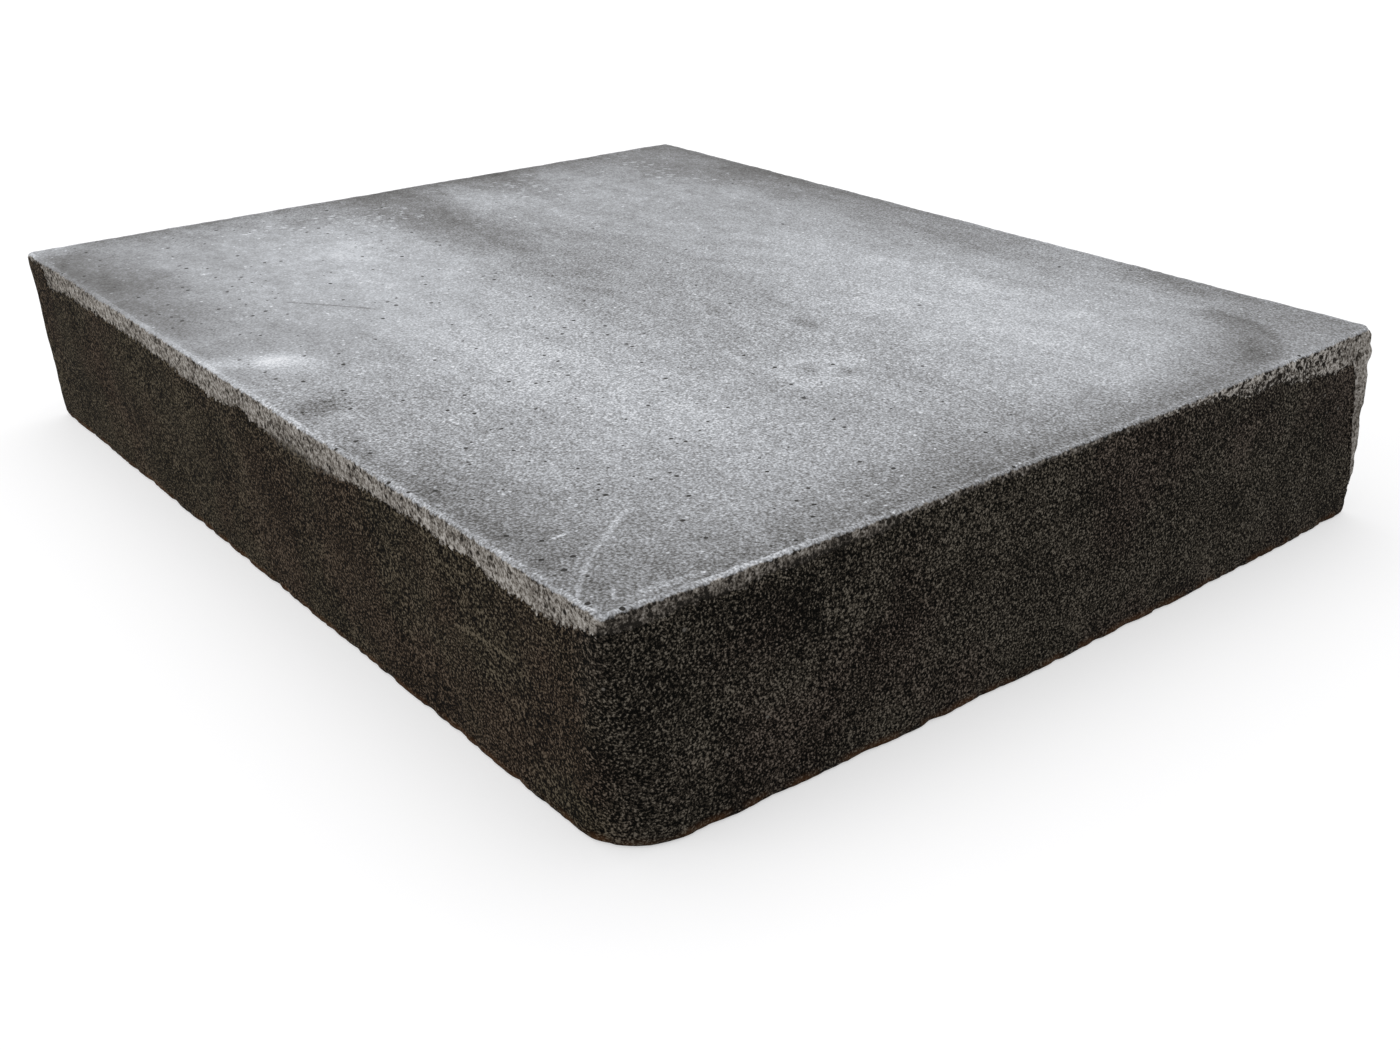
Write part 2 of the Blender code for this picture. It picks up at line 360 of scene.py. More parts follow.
def node(tree, kind, inputs=None, **settings):
    """A shader node of this kind, with its settings, and its inputs set to a value or linked to a socket."""
    made = tree.nodes.new("ShaderNode" + kind)
    for name, value in settings.items():
        setattr(made, name, value)
    for key, value in (inputs or {}).items():
        if isinstance(value, bpy.types.NodeSocket):
            tree.links.new(value, made.inputs[key])
        else:
            made.inputs[key].default_value = value
    return made


def reckoned(tree, operation, *values):
    return node(tree, "Math", dict(enumerate(values)), operation=operation).outputs[0]


def product(tree, first, *others):
    for other in others:
        first = reckoned(tree, "MULTIPLY", first, other)
    return first


def added(tree, tone, mask, amount):
    """The tone, with this amount added where the mask is 1."""
    return reckoned(tree, "MULTIPLY_ADD", mask, amount, tone)


def swung(tree, tone, grain, amount):
    """The tone, swung up and down by a grain that runs from 0 to 1."""
    return reckoned(tree, "MULTIPLY_ADD", reckoned(tree, "SUBTRACT", grain, 0.5), amount, tone)


def between(tree, value, low, high, out_low=0.0, out_high=1.0):
    """The value's way from low to high, eased, as a number from out_low to out_high."""
    made = node(tree, "MapRange", {0: value, 1: low, 2: high, 3: out_low, 4: out_high}, interpolation_type="SMOOTHSTEP")
    return made.outputs[0]


def noise_at(tree, vector, size_mm, detail=2.0, roughness=0.5, distortion=0.0):
    """Noise from 0 to 1 whose blotches are about this many mm across."""
    inputs = {"Vector": vector, "Scale": 1000 / size_mm, "Detail": detail}
    inputs |= {"Roughness": roughness, "Distortion": distortion}
    return node(tree, "TexNoise", inputs).outputs["Fac"]


def stretched(tree, vector, scale):
    """The vector for a pattern that is drawn out along each axis whose scale is under 1."""
    return node(tree, "Mapping", {"Vector": vector, "Scale": scale}).outputs[0]


def axes_of(tree, vector):
    return node(tree, "SeparateXYZ", {0: vector}).outputs


def mixed(tree, share, first, second):
    """The first colour where the share is 0 and the second where it is 1."""
    made = node(tree, "Mix", {0: share}, data_type="RGBA")
    for socket, colour in ((made.inputs[6], first), (made.inputs[7], second)):
        if isinstance(colour, bpy.types.NodeSocket):
            tree.links.new(colour, socket)
        else:
            socket.default_value = (*colour, 1)
    return made.outputs[2]


def mixed_value(tree, share, first, second):
    """The first number where the share is 0 and the second where it is 1."""
    return node(tree, "Mix", {0: share, 2: first, 3: second}).outputs[0]


def tinted(red, green, blue):
    """A colour given as it looks on screen, from 0 to 255, as the shader's own linear colour."""
    levels = (red, green, blue)
    return tuple(((level / 255 + 0.055) / 1.055) ** 2.4 if level > 10 else level / 3295 for level in levels)


def shaded(tree, tone, shades):
    """The colour for a tone, out of a list of tones and their colours from the darkest to the palest."""
    ramp = node(tree, "ValToRGB", {0: tone})
    stops = ramp.color_ramp.elements
    stops[0].position, stops[1].position = shades[0][0], shades[-1][0]
    stops[0].color, stops[1].color = (*tinted(*shades[0][1]), 1), (*tinted(*shades[-1][1]), 1)
    for level, shade in shades[1:-1]:
        stops.new(level).color = (*tinted(*shade), 1)
    return ramp.outputs[0]


def group(name, inputs, outputs):
    """A new node group with these named sockets, and its input and output nodes."""
    tree = bpy.data.node_groups.new(name, "ShaderNodeTree")
    for label, kind in inputs.items():
        tree.interface.new_socket(label, in_out="INPUT", socket_type="NodeSocket" + kind)
    for label, kind in outputs.items():
        tree.interface.new_socket(label, in_out="OUTPUT", socket_type="NodeSocket" + kind)
    return tree, tree.nodes.new("NodeGroupInput").outputs, tree.nodes.new("NodeGroupOutput").inputs


def placed(tree, which, inputs):
    """The outputs of this node group, placed in the tree with these inputs."""
    return node(tree, "Group", inputs, node_tree=which).outputs


# Round spots scattered at random, such as pits and specks: 1 inside a spot and 0 outside
spots, given, result = group(
    "scattered_spots", {"Vector": "Vector", "Pitch mm": "Float", "Radius mm": "Float", "Share": "Float"},
    {"Mask": "Float"},
)
scale = reckoned(spots, "DIVIDE", 1000.0, given["Pitch mm"])
cells = node(spots, "TexVoronoi", {"Vector": given["Vector"], "Scale": scale, "Randomness": 1.0}).outputs
reach = reckoned(spots, "DIVIDE", given["Radius mm"], given["Pitch mm"])
lot = node(spots, "SeparateColor", {0: cells["Color"]}).outputs
size = product(spots, reach, reckoned(spots, "ADD", 0.45, product(spots, lot[1], 0.75)))
spot = between(spots, cells["Distance"], product(spots, size, 0.55), size, 1.0, 0.0)
chosen = reckoned(spots, "LESS_THAN", lot[0], given["Share"])
spots.links.new(product(spots, spot, chosen), result["Mask"])


def scattered(tree, vector, pitch_mm, radius_mm, share):
    """The mask of round spots this far apart and this big, of which this share is there."""
    inputs = {"Vector": vector, "Pitch mm": pitch_mm, "Radius mm": radius_mm, "Share": share}
    return placed(tree, spots, inputs)[0]


# A soft oval patch, as a stain or a veil of dust: 1 in its middle and 0 outside
patch, given, result = group(
    "soft_patch", {"Vector": "Vector", "Middle": "Vector", "Half size": "Vector", "Turn": "Vector"}, {"Mask": "Float"}
)
turned = node(patch, "Mapping", {
    "Vector": given["Vector"], "Location": given["Middle"], "Rotation": given["Turn"], "Scale": given["Half size"],
}, vector_type="TEXTURE").outputs[0]
away = node(patch, "VectorMath", {0: turned}, operation="LENGTH").outputs["Value"]
patch.links.new(between(patch, away, 0.0, 1.0, 1.0, 0.0), result["Mask"])

# A thin mark, such as a scratch or a chalk line, that may bow aside: 1 on its line and 0 off it
mark, given, result = group(
    "thin_mark",
    {"Vector": "Vector", "Start": "Vector", "Turn": "Vector", "Length": "Float", "Bow": "Float", "Width": "Float"},
    {"Mask": "Float"},
)
turned = node(mark, "Mapping", {
    "Vector": given["Vector"], "Location": given["Start"], "Rotation": given["Turn"],
}, vector_type="TEXTURE").outputs[0]
along, aside, _ = axes_of(mark, turned)
share = reckoned(mark, "DIVIDE", along, given["Length"])
arch = product(mark, share, reckoned(mark, "SUBTRACT", 1.0, share))
bowed = product(mark, arch, product(mark, given["Bow"], 4.0))
off_line = reckoned(mark, "ABSOLUTE", reckoned(mark, "SUBTRACT", aside, bowed))
ragged = reckoned(mark, "MULTIPLY_ADD", noise_at(mark, given["Vector"], 1.6, 2), 1.3, 0.3)
off_share = reckoned(mark, "DIVIDE", off_line, product(mark, given["Width"], ragged))
core = between(mark, off_share, 0.15, 0.8, 1.0, 0.0)
ends = product(mark, between(mark, share, -0.04, 0.12), between(mark, share, 1.04, 0.88))
mark.links.new(product(mark, core, ends), result["Mask"])

# Where the coat's paint ends: its ragged upper edge, drawn out in short upright strokes. In the middle of the front
# the brush ran dry, and the paint fades out softly
WORN_THIN = {"Middle": (34 * MM, -115 * MM, 44 * MM), "Half size": (26 * MM, 30 * MM, 20 * MM)}
EDGE_SOFTNESS = 0.12  # mm to either side of the paint's edge
border, given, result = group("coat_border", {"Vector": "Vector", "Below edge": "Float"}, {"Mask": "Float"})
strokes = stretched(border, given["Vector"], (1, 1, 0.5))
edge = swung(border, given["Below edge"], noise_at(border, strokes, 0.9, 3, 0.6), 4.2)
edge = swung(border, edge, noise_at(border, given["Vector"], 2.6, 2), 1.4)
thin = placed(border, patch, {"Vector": given["Vector"], **WORN_THIN})[0]
start, full = added(border, -EDGE_SOFTNESS, thin, -3.0), added(border, EDGE_SOFTNESS, thin, 1.6)
border.links.new(between(border, edge, start, full), result["Mask"])

# The bare rough stone of the sides: pale tooth marks and dark pores, darker and more pitted just under the top. On
# the crowned end it is sooty, and near the bare corner full of open pores. Lower down it darkens with painted shade
ROUGH_SHADES = (
    (0.0, (34, 31, 27)), (0.3, (86, 80, 73)), (0.55, (136, 130, 122)), (0.75, (164, 159, 152)), (1.0, (200, 195, 188)),
)
bare, given, result = group(
    "rough_stone", {"Vector": "Vector", "Rim distance": "Float"}, {"Color": "Color", "Height": "Float"}
)
vector = given["Vector"]
strokes = stretched(bare, vector, (1, 1, 0.8))
tooth = noise_at(bare, strokes, 0.95, 3, 0.65)
fine = noise_at(bare, vector, 0.5, 2, 0.6)
blotch = noise_at(bare, vector, 11, 2)
x, y, _ = axes_of(bare, vector)
on_end = between(bare, x, 150 * MM, 151.5 * MM)
porous = product(bare, on_end, between(bare, y, 20 * MM, 45 * MM), between(bare, y, 108 * MM, 88 * MM))
sooty = product(bare, on_end, between(bare, y, 104 * MM, 86 * MM))
upper = between(bare, given["Rim distance"], -3.6, -0.8)
painted_shade_low = between(bare, given["Rim distance"], -6.0, -16.0)
pinch = scattered(bare, strokes, 1.1, 0.55, 0.5)
pores = scattered(bare, vector, 1.6, 0.95, added(bare, 0.22, porous, 0.55))
tone = swung(bare, 0.6, tooth, added(bare, 1.9, porous, 1.5))
tone = swung(bare, tone, fine, added(bare, 1.6, porous, 1.5))
tone = added(bare, tone, on_end, 0.07)
tone = swung(bare, tone, blotch, 0.7)
tone = added(bare, tone, upper, -0.03)
tone = added(bare, tone, sooty, added(bare, -0.55, upper, 0.26))
tone = added(bare, tone, porous, 0.34)
# painted shade: the bare stone darkens from 6 mm to 16 mm below the top, and stays so further down
tone = added(bare, tone, painted_shade_low, -0.14)
tone = reckoned(bare, "SUBTRACT", tone, product(bare, pinch, added(bare, 0.3, upper, 0.15)))
tone = added(bare, tone, pores, added(bare, -0.5, porous, -0.45))
bare.links.new(shaded(bare, tone, ROUGH_SHADES), result["Color"])
hollow = product(bare, reckoned(bare, "ADD", pores, pinch), 0.8)
bare.links.new(product(bare, reckoned(bare, "SUBTRACT", tooth, hollow), 0.2), result["Height"])

# The coat's paint: near black, with the olive and brown grains of the rough stone under it
COAT_SHADES = ((0.0, (9, 8, 6)), (0.2, (26, 22, 17)), (0.42, (50, 44, 34)), (0.7, (66, 59, 47)), (1.0, (112, 103, 87)))
FLECK_SHADE = (128, 122, 112)
FOOT_BROWN = (104, 72, 46)  # a brown tint, in blotches along the lowest few mm of the foot
BLACK_PATCH = {"Middle": (153 * MM, -85 * MM, 38 * MM), "Half size": (20 * MM, 60 * MM, 22 * MM)}
BROWN_PATCH = {"Middle": (90 * MM, -115 * MM, 14 * MM), "Half size": (70 * MM, 20 * MM, 22 * MM)}
SCRAPES = {  # on the front, from x, z to x, z, and how wide (mm)
    "ochre": (-84.5, 26, -80.6, 11.5, 1.0),
    "upper": (93.5, 40.4, 106.5, 41.1, 0.8),
    "painted_shade_low": (97.5, 28.3, 123, 29.5, 1.0),
}
paint, given, result = group("coat_paint", {"Vector": "Vector"}, {"Color": "Color", "Height": "Float"})
vector = given["Vector"]
x, y, z = axes_of(paint, vector)
on_end = between(paint, x, 140 * MM, 151.5 * MM)
in_front = between(paint, y, -100 * MM, -105 * MM)
grain = noise_at(paint, vector, 0.6, 2, 0.65)
finer = noise_at(paint, vector, 0.42, 1, 0.6)
cells = node(paint, "TexVoronoi", {"Vector": vector, "Scale": 1000 / 0.62, "Randomness": 1.0}).outputs["Distance"]
tone = swung(paint, 0.385, grain, added(paint, 3.9, on_end, -0.8))
tone = swung(paint, tone, noise_at(paint, vector, 1.7, 2, 0.6), 0.55)
tone = swung(paint, tone, finer, 2.8)
tone = added(paint, tone, reckoned(paint, "SUBTRACT", 0.48, cells), 0.8)
tone = swung(paint, tone, noise_at(paint, vector, 17, 3), 0.7)
tone = added(paint, tone, placed(paint, patch, {"Vector": vector, **BLACK_PATCH})[0], -0.12)
for start_x, start_z, end_x, end_z, width in SCRAPES.values():
    scrape = placed(paint, mark, {
        "Vector": vector, "Start": (start_x * MM, 0.0, start_z * MM),
        "Turn": (pi / 2, -atan2(end_z - start_z, end_x - start_x), 0.0),
        "Length": hypot(end_x - start_x, end_z - start_z) * MM, "Bow": 0.3 * MM, "Width": width * MM,
    })[0]
    tone = added(paint, tone, product(paint, scrape, in_front), 0.5)
plain = shaded(paint, tone, COAT_SHADES)
warm = node(paint, "HueSaturation", {"Hue": 0.472, "Saturation": 1.12, "Value": 0.97, "Color": plain}).outputs[0]
brown = placed(paint, patch, {"Vector": vector, **BROWN_PATCH})[0]
rust = added(paint, noise_at(paint, vector, 30, 3), brown, 0.2)
warmed = mixed(paint, between(paint, rust, 0.42, 0.64, 0.0, 0.8), plain, warm)
fleck = product(paint, scattered(paint, vector, 3.4, 0.5, 0.12), 0.6)
flecked = mixed(paint, fleck, warmed, tinted(*FLECK_SHADE))
greyed = node(paint, "HueSaturation", {
    "Saturation": added(paint, 1.0, on_end, -0.28), "Value": added(paint, 1.0, on_end, 0.2), "Color": flecked,
}).outputs[0]
# a brown tint in blotches along the lowest 3 mm of the foot
foot_blotches = between(paint, noise_at(paint, vector, 7, 2), 0.35, 0.6)
foot_brown = product(paint, between(paint, z, 3.0 * MM, 0.6 * MM), foot_blotches)
paint.links.new(mixed(paint, product(paint, foot_brown, 0.55), greyed, tinted(*FOOT_BROWN)), result["Color"])
paint.links.new(product(paint, added(paint, grain, finer, 0.4), 0.3), result["Height"])

# The broad soft stains and dusty veils on the honed top, as they are seen on it: middle x, y, half length, half width
# (mm), turn (degrees), and how much paler or darker each is (levels of 255)
TOP_LEVEL = 169  # of 255, where there is no patch
TOP_PATCHES = {
    "dark_back_margin": (-95, 118, 115, 44, 0, -56),
    "dark_back_middle": (5, 103, 85, 24, -5, -26),
    "dark_back_right": (95, 110, 40, 12, 5, -32),
    "dim_far_end": (-165, 25, 50, 130, 0, -58),
    "dim_far_front": (-158, -82, 38, 42, 0, -30),
    "dim_far_back": (-125, 82, 40, 22, 0, -24),
    "dark_far_blotch": (-145, 38, 45, 14, 0, -22),
    "dark_band": (-112, -6, 74, 24, -5, -38),
    "dark_band_tail": (-40, -5, 105, 20, -5, -18),
    "dim_middle": (-20, 16, 90, 16, 0, -12),
    "pale_back_middle": (-5, 58, 50, 20, 0, 12),
    "veil": (-70, -48, 95, 42, 5, 22),
    "veil_heart": (-95, -42, 40, 20, 0, 8),
    "veil_front": (-58, -76, 48, 13, 0, 10),
    "pale_front_streak": (38, -56, 120, 32, 6, 24),
    "pale_middle": (8, -31, 50, 14, 5, 12),
    "pale_right": (80, 50, 120, 50, 5, 25),
    "pale_right_heart": (45, 66, 45, 13, 3, 12),
    "pale_right_end": (116, 15, 32, 13, 0, 10),
    "dark_front_margin": (-105, -111, 100, 26, 3, -48),
    "dark_near_margin": (100, -116, 105, 34, 12, -42),
    "dim_near_end": (170, -35, 52, 130, 0, -56),
    "dim_near_corner": (124, -82, 26, 15, 0, -12),
    "dark_curve": (137, 78, 30, 22, -50, -32),
    "dark_curve_foot": (148, 54, 18, 40, 10, -32),
    "dull_right_corner": (138, 106, 60, 22, 0, -26),
    "bright_drop": (-6, -100, 16, 10, 28, 42),
    "bright_drop_heart": (-9, -101, 8, 6, 28, 22),
    "bright_drop_tail": (-14, -111, 8, 7, 10, 34),
    "pitted_smudge": (28, -106, 10, 10, 0, -38),
    "pale_dab": (11, -87, 9, 11, 0, 18),
    "dark_spot": (54, 11, 7, 4, 0, -34),
    "dark_dot": (30, 0, 5, 4, 0, -22),
    "dark_dot_front": (41, -53, 6, 5, 0, -22),
    "ring": (83, -8, 19, 16, -37, 34),
    "ring_heart": (82, -11, 8, 6, -37, -50),
    "ring_heart_far": (89, -5, 6, 5, -37, -36),
    "pale_left_corner": (-150, -108, 14, 14, 0, 44),
    "dim_far_dab": (-127, -36, 14, 24, 0, -8),
    "pale_far_dab_back": (-125, 14, 26, 14, 10, 16),
    "dark_smear": (-38, -70, 18, 7, 30, -8),
}
CRISP_UP_TO = 25  # mm of half length: a longer patch drifts at its edges, and a smaller one keeps its shape
DRIFT = (30 * MM, 20 * MM, 0.0)  # how widely such edges drift along x and y

# Where white grains lie thick, as if dusted on: middle x, y and half size (mm)
SPRINKLES = {
    "back": (-118, 85, 42, 13), "far": (-124, 36, 26, 13), "band": (-118, -18, 26, 16), "far_end": (-130, -38, 10, 34),
}
GRAIN_TURN, GRAIN_STRETCH = 48, 1.8  # degrees and times: which way the white grains are drawn out, and how much

# The marks on the top: from x, y to x, y (mm), how far each bows aside, its width (mm) and its tone
TOP_MARKS = {
    "chalk_curve_head": (118.2, -85.4, 127.6, -97.6, -0.3, 1.5, 0.12),
    "chalk_curve_tail": (127.2, -97.4, 143.5, -113.4, -1.0, 1.2, 0.13),
    "chalk_curve_shadow": (126.2, -98.9, 141.4, -113.4, -1.1, 0.7, 0.07),
    "chalk_branch": (144.2, -106.4, 149.2, -109.0, -0.5, 1.1, 0.14),
    "dark_scratch": (-53.0, -79.7, -30.6, -64.3, 0.4, 0.8, -0.16),
    "white_nick": (120.9, -104.6, 120.5, -101.0, 0.1, 1.0, 0.22),
    "chalk_rim": (149.4, -108.5, 149.8, -90.0, 0.4, 2.2, 0.14),
    "dark_arc": (110, 92, 148.5, 68, 9.5, 11, -0.08),
    "dark_arc_rim": (114, 94.5, 149.5, 76, 7, 3.5, -0.045),
}
TOP_SHADES = (
    (0.2, (52, 51, 49)), (0.35, (89, 88, 86)), (0.5, (126, 126, 126)), (0.6, (151, 152, 154)), (0.7, (176, 178, 181)),
    (0.8, (202, 205, 209)), (0.95, (240, 242, 245)),
)

# The honed top: its stains, then its cloudy wear, its sandy grain, its specks and pits, its marks and its pale rim
# line, partly dust and partly a painted highlight
top, given, result = group(
    "honed_top", {"Vector": "Vector", "Rim distance": "Float"},
    {"Color": "Color", "Height": "Float", "Roughness": "Float"},
)
vector = given["Vector"]
along, across, _ = axes_of(top, vector)
billow = node(top, "TexNoise", {"Vector": vector, "Scale": 45.0, "Detail": 5.0, "Roughness": 0.6}).outputs["Color"]
flow = node(top, "VectorMath", {0: billow, 1: (0.5, 0.5, 0.5)}, operation="SUBTRACT").outputs[0]
drifted = node(top, "VectorMath", {0: flow, 1: DRIFT, 2: vector}, operation="MULTIPLY_ADD").outputs[0]


def on_honed_top(place, x, y, half_x, half_y, turn=0):
    """The mask of a soft patch on the top, in mm and degrees."""
    return placed(top, patch, {
        "Vector": place, "Middle": (x * MM, y * MM, THICKNESS), "Half size": (half_x * MM, half_y * MM, 1.0),
        "Turn": (0, 0, radians(turn)),
    })[0]


tone = TOP_LEVEL / 255
for x, y, half_x, half_y, turn, levels in TOP_PATCHES.values():
    place = drifted if half_x > CRISP_UP_TO else vector
    tone = added(top, tone, on_honed_top(place, x, y, half_x, half_y, turn), levels / 255)
cloud = noise_at(top, stretched(top, vector, (0.5, 1, 1)), 10, 6, 0.68)
streak = noise_at(top, stretched(top, vector, (0.25, 1, 1)), 3.4, 3, 0.6)
tone = swung(top, tone, streak, 0.07)
tone = swung(top, tone, cloud, between(top, along, 60 * MM, 130 * MM, 0.28, 0.2))
sand = noise_at(top, vector, 1.1, 2, 0.7, 0.4)
fine = noise_at(top, vector, 0.5, 1)
smooth = on_honed_top(drifted, -70, -90, 130, 100)
coarse = swung(top, 0.0, sand, between(top, along, 50 * MM, 130 * MM, 1.0, 0.4))
grit = swung(top, coarse, fine, 2.2)
sandy = product(
    top, between(top, along, -130 * MM, 50 * MM, 0.6, 1.0), between(top, smooth, 0.0, 0.7, 1.0, 0.6),
    between(top, across, 0.0, 60 * MM, 1.0, 0.8),
)
tone = added(top, tone, product(top, grit, sandy), 0.38)
tone = swung(top, tone, noise_at(top, vector, 2.6, 3, 0.7), between(top, along, 0.0, -90 * MM, 0.0, 0.26))
thick = 0.0
for x, y, half_x, half_y in SPRINKLES.values():
    thick = reckoned(top, "ADD", on_honed_top(drifted, x, y, half_x, half_y), thick)
drawn_out = node(top, "Mapping", {
    "Vector": vector, "Rotation": (0, 0, radians(GRAIN_TURN)), "Scale": (GRAIN_STRETCH, 1, 1),
}, vector_type="TEXTURE").outputs[0]
tone = added(top, tone, scattered(top, drawn_out, 2.0, 0.8, thick), 0.2)
tone = added(top, tone, thick, -0.03)
crowd = noise_at(top, stretched(top, vector, (0.6, 1, 1)), 16, 3)
tone = added(top, tone, scattered(top, vector, 1.7, 0.48, between(top, crowd, 0.4, 0.75, 0.08, 0.6)), 0.19)
smudge = on_honed_top(vector, 28, -106, 14, 11)
pit_share = added(top, between(top, across, 30 * MM, -60 * MM, 0.08, 0.85), smudge, 0.9)
pits = scattered(top, vector, 3.9, 0.58, pit_share)
tone = added(top, tone, pits, -0.6)
tone = added(top, tone, scattered(top, vector, 1.6, 0.75, product(top, smudge, 0.8)), -0.25)
for x, y, end_x, end_y, bow, width, level in TOP_MARKS.values():
    drawn = placed(top, mark, {
        "Vector": vector, "Start": (x * MM, y * MM, THICKNESS), "Turn": (0, 0, atan2(end_y - y, end_x - x)),
        "Length": hypot(end_x - x, end_y - y) * MM, "Bow": bow * MM, "Width": width * MM,
    })[0]
    tone = added(top, tone, drawn, level)
# The pale line just inside the rim: partly dust, partly a painted highlight of the edge, made stronger over the near
# end
wavy = swung(top, given["Rim distance"], noise_at(top, vector, 3.0, 3), 1.6)
patchy = between(top, noise_at(top, vector, 22, 2), 0.3, 0.7, 0.3, 0.8)
near = on_honed_top(vector, 152, -90, 110, 170)
wiped = product(top, between(top, along, 130 * MM, 145 * MM), between(top, across, -85 * MM, -50 * MM))
rim_dust_and_highlight = product(top, between(top, wavy, 1.05, 0.7), patchy, added(top, 1.0, near, 1.2), added(top, 1.0, wiped, -0.5))
inside = product(top, between(top, given["Rim distance"], 1.4, 2.6), between(top, given["Rim distance"], 8.0, 2.8))
tone = added(top, tone, inside, -0.03)
tone = added(top, tone, rim_dust_and_highlight, 0.15)
top.links.new(shaded(top, tone, TOP_SHADES), result["Color"])
height = reckoned(top, "SUBTRACT", product(top, sand, 0.05), product(top, pits, 0.12))
top.links.new(height, result["Height"])
top.links.new(between(top, sand, 0.3, 0.7, 0.62, 0.8), result["Roughness"])


def new_material(name):
    """A new material, its node tree and its surface shader."""
    material = bpy.data.materials.new(name)
    material.use_nodes = True
    return material, material.node_tree, material.node_tree.nodes["Principled BSDF"]


def side_look(tree, vector, rim):
    """The colour and the height of the sides: paint below the coat's upper edge, and bare rough stone above it."""
    below = node(tree, "Attribute", attribute_name="below_edge").outputs["Fac"]
    rough = placed(tree, bare, {"Vector": vector, "Rim distance": rim})
    painted = placed(tree, paint, {"Vector": vector})
    over_edge = placed(tree, border, {"Vector": vector, "Below edge": below})[0]
    colour = mixed(tree, over_edge, rough["Color"], painted["Color"])
    return colour, mixed_value(tree, over_edge, rough["Height"], painted["Height"])


def raised(tree, surface, height):
    """Give the surface this height, in mm, as bumps."""
    bump = node(tree, "Bump", {"Height": height, "Distance": MM, "Strength": 1.0})
    tree.links.new(bump.outputs[0], surface.inputs["Normal"])


stone, tree, surface = new_material("grey_granite")
vector = node(tree, "TexCoord").outputs["Object"]
rim = node(tree, "Attribute", attribute_name="rim_distance").outputs["Fac"]
on_top = placed(tree, top, {"Vector": vector, "Rim distance": rim})
side_colour, side_height = side_look(tree, vector, rim)
is_top = between(tree, swung(tree, rim, noise_at(tree, vector, 1.2, 2), 1.4), -0.75, -0.25)
tree.links.new(mixed(tree, is_top, side_colour, on_top["Color"]), surface.inputs["Base Color"])
raised(tree, surface, mixed_value(tree, is_top, side_height, on_top["Height"]))
tree.links.new(mixed_value(tree, is_top, 0.9, on_top["Roughness"]), surface.inputs["Roughness"])
surface.inputs["Specular IOR Level"].default_value = 0.1


def stone_place(i, row):
    point = stone_point(i, row)
    height, _, inward = stone_rows[row]
    under = -UNDERSIDE_BARE if inward and height == 0 else below_edge(i, height)
    return point, under, rim_distance(point, height)


mesh = wrapped_sheet(len(stone_rows), stone_place)
for at_top in (False, True):
    loop = [edge for edge in mesh.edges if edge.is_boundary and (edge.verts[0].co.z > THICKNESS / 2) == at_top]
    cap = bmesh.ops.contextual_create(mesh, geom=loop)["faces"]
    bmesh.ops.poke(mesh, faces=cap)
add_piece(mesh, "slab_stone", stone, "root", "stone_slab")

# ---------------------------------------------------------------------------------------------------------------------
# The coat on the sides. Dark masonry paint, brushed over the rough stone about a third of a millimetre thick, with a
# thin ragged upper edge. It is left off at the right-hand corner, and holds on by its own grip.

COAT_FOOT = 0.45 * MM
COAT_TUCK = 0.5 * MM  # how far its foot turns in round the base edge
COAT_ROWS = 44  # up the outer face
BACK_ROWS = 5  # down the face that lies on the stone
COAT_BACK = 0.35 * MM  # how far that face is sunk in the stone's rough skin
COAT_BUILD = 0.3 * MM  # how thick it is away from its edge
COAT_LIP = 0.12 * MM  # and at the edge itself


def coat_place(i, row):
    """Down the hidden back of the coat and up its face, and back to where it began."""
    column = columns[i]
    row = row % (COAT_ROWS + BACK_ROWS + 2)
    is_face = row > BACK_ROWS
    share = (row - BACK_ROWS - 1) / COAT_ROWS if is_face else 1 - row / BACK_ROWS
    height = COAT_FOOT + share * (tops[i] - COAT_FOOT)
    tuck = COAT_TUCK * (1 - min(height / BASE_ROUND, 1)) ** 2
    base = outline_point(column, height)
    outward = outward_of(column)
    under = below_edge(i, height)
    if not is_face:
        back = base + outward * (PROUD - tuck - COAT_BACK - base_nick(base))
        return back, under, (height - THICKNESS) / MM
    build = COAT_LIP + (COAT_BUILD - COAT_LIP) * smooth_step(0, 2.5, under)
    covered = covered_share(under)
    skin = rough_face(base, porous_share(base), bumpy_share(base)) * (1 - FILLED * covered)
    grain = 0.07 * noise.noise(base / (1.5 * MM)) + 0.05 * noise.noise(base / (3.7 * MM))
    point = base + outward * (PROUD + skin + build - tuck - base_nick(base) + grain * MM * covered)
    return kept_in(point), under, (height - THICKNESS) / MM


coat, tree, surface = new_material("dark_side_coat")
vector = node(tree, "TexCoord").outputs["Object"]
rim = node(tree, "Attribute", attribute_name="rim_distance").outputs["Fac"]
colour, height = side_look(tree, vector, rim)
tree.links.new(colour, surface.inputs["Base Color"])
raised(tree, surface, height)
surface.inputs["Roughness"].default_value = 0.95
surface.inputs["Specular IOR Level"].default_value = 0.04

mesh = wrapped_sheet(COAT_ROWS + BACK_ROWS + 3, coat_place)
add_piece(mesh, "slab_coat", coat, "root", "side_coat")

# ---------------------------------------------------------------------------------------------------------------------
# The studio. A plain white floor that keeps the slab's shadow, one big soft light above and one at the front, and the
# camera where the photograph was taken from.

FLOOR_REACH = 6  # metres from the slab to the floor's edge
FLOOR_LIT = (0.6, 1.6)  # metres from the slab, over which the floor's own glow rises to plain white

floor_mesh = bmesh.new()
bmesh.ops.create_grid(floor_mesh, x_segments=1, y_segments=1, size=FLOOR_REACH)
floor_data = bpy.data.meshes.new("floor")
floor_mesh.to_mesh(floor_data)
floor_mesh.free()
floor = bpy.data.objects.new("floor", floor_data)
bpy.context.scene.collection.objects.link(floor)


def seen_itself(tree):
    """1 to the camera, in a mirror or through glass, and 0 to the light that falls on the slab."""
    path = node(tree, "LightPath").outputs
    mirrored = reckoned(tree, "MAXIMUM", path["Is Glossy Ray"], path["Is Transmission Ray"])
    return reckoned(tree, "MAXIMUM", path["Is Camera Ray"], mirrored)


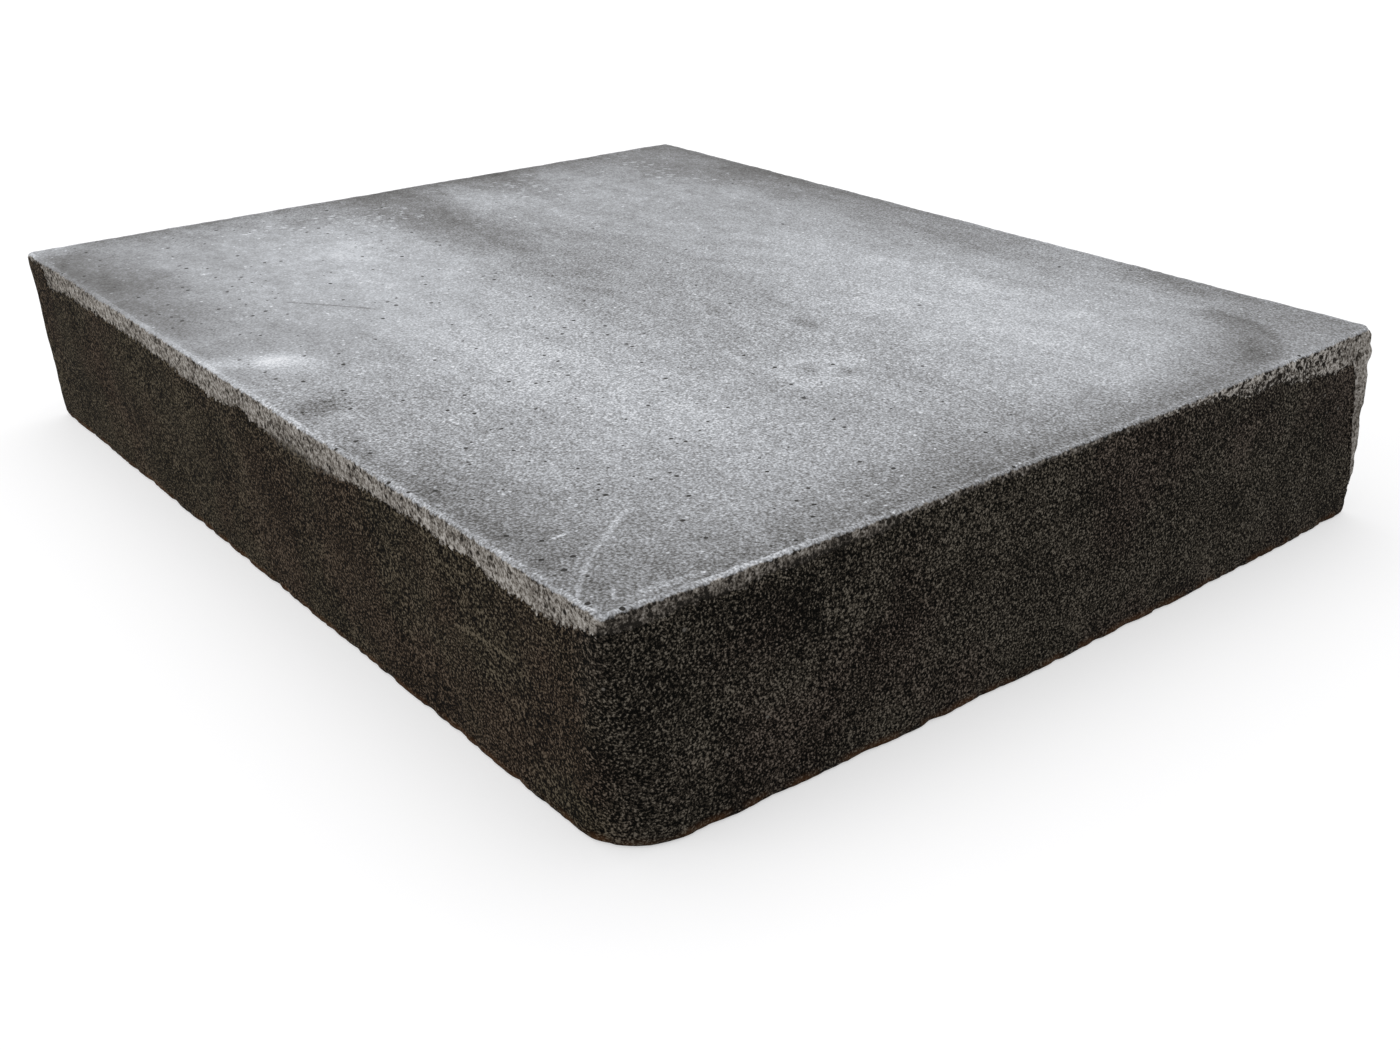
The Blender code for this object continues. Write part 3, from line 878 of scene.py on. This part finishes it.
white, tree, surface = new_material("white_floor")
away = node(tree, "VectorMath", {0: node(tree, "TexCoord").outputs["Object"]}, operation="LENGTH").outputs["Value"]
glow = mixed(tree, between(tree, away, *FLOOR_LIT), (0.5, 0.5, 0.5), (1.0, 1.0, 1.0))
tree.links.new(mixed(tree, seen_itself(tree), (0.0, 0.0, 0.0), glow), surface.inputs["Emission Color"])
surface.inputs["Emission Strength"].default_value = 1.0
surface.inputs["Base Color"].default_value = (0.6, 0.6, 0.6, 1)
surface.inputs["Roughness"].default_value = 1.0
surface.inputs["Specular IOR Level"].default_value = 0.0
floor_data.materials.append(white)

world = bpy.data.worlds.new("soft_daylight")
bpy.context.scene.world = world
world.use_nodes = True
tree = world.node_tree
background = tree.nodes["Background"]
tree.links.new(mixed(tree, seen_itself(tree), (0.6, 0.6, 0.61), (1.0, 1.0, 1.0)), background.inputs["Color"])
background.inputs["Strength"].default_value = 1.0

for name, place, width, power in (
    ("softbox_above", (-0.2, 0.2, 1.5), 1.6, 8.8),
    ("softbox_front", (-0.5, -1.5, 0.9), 1.2, 5.4),
):
    light = bpy.data.lights.new(name, "AREA")
    light.shape = "SQUARE"
    light.size = width
    light.energy = power
    lamp = bpy.data.objects.new(name, light)
    aim = -Vector(place)  # at the slab
    lamp.matrix_world = Matrix.Translation(place) @ aim.to_track_quat("-Z", "Y").to_matrix().to_4x4()
    bpy.context.scene.collection.objects.link(lamp)

camera = bpy.data.cameras.new("camera")
camera.sensor_width = 36
camera.lens = 39.667
camera.shift_x = -0.1109
camera.shift_y = 0.0705
camera.clip_start = 0.01
viewer = bpy.data.objects.new("camera", camera)
bpy.context.scene.collection.objects.link(viewer)
forward = Vector((-0.65963, 0.57950, -0.47862)).normalized()
right = Vector((0.66202, 0.74947, -0.00494)).normalized()
up = right.cross(forward)
turn = Matrix((right, up, -forward)).transposed().to_4x4()
viewer.matrix_world = Matrix.Translation((0.34646, -0.22966, 0.17055)) @ turn
bpy.context.scene.camera = viewer
bpy.context.scene.view_settings.view_transform = "Standard"
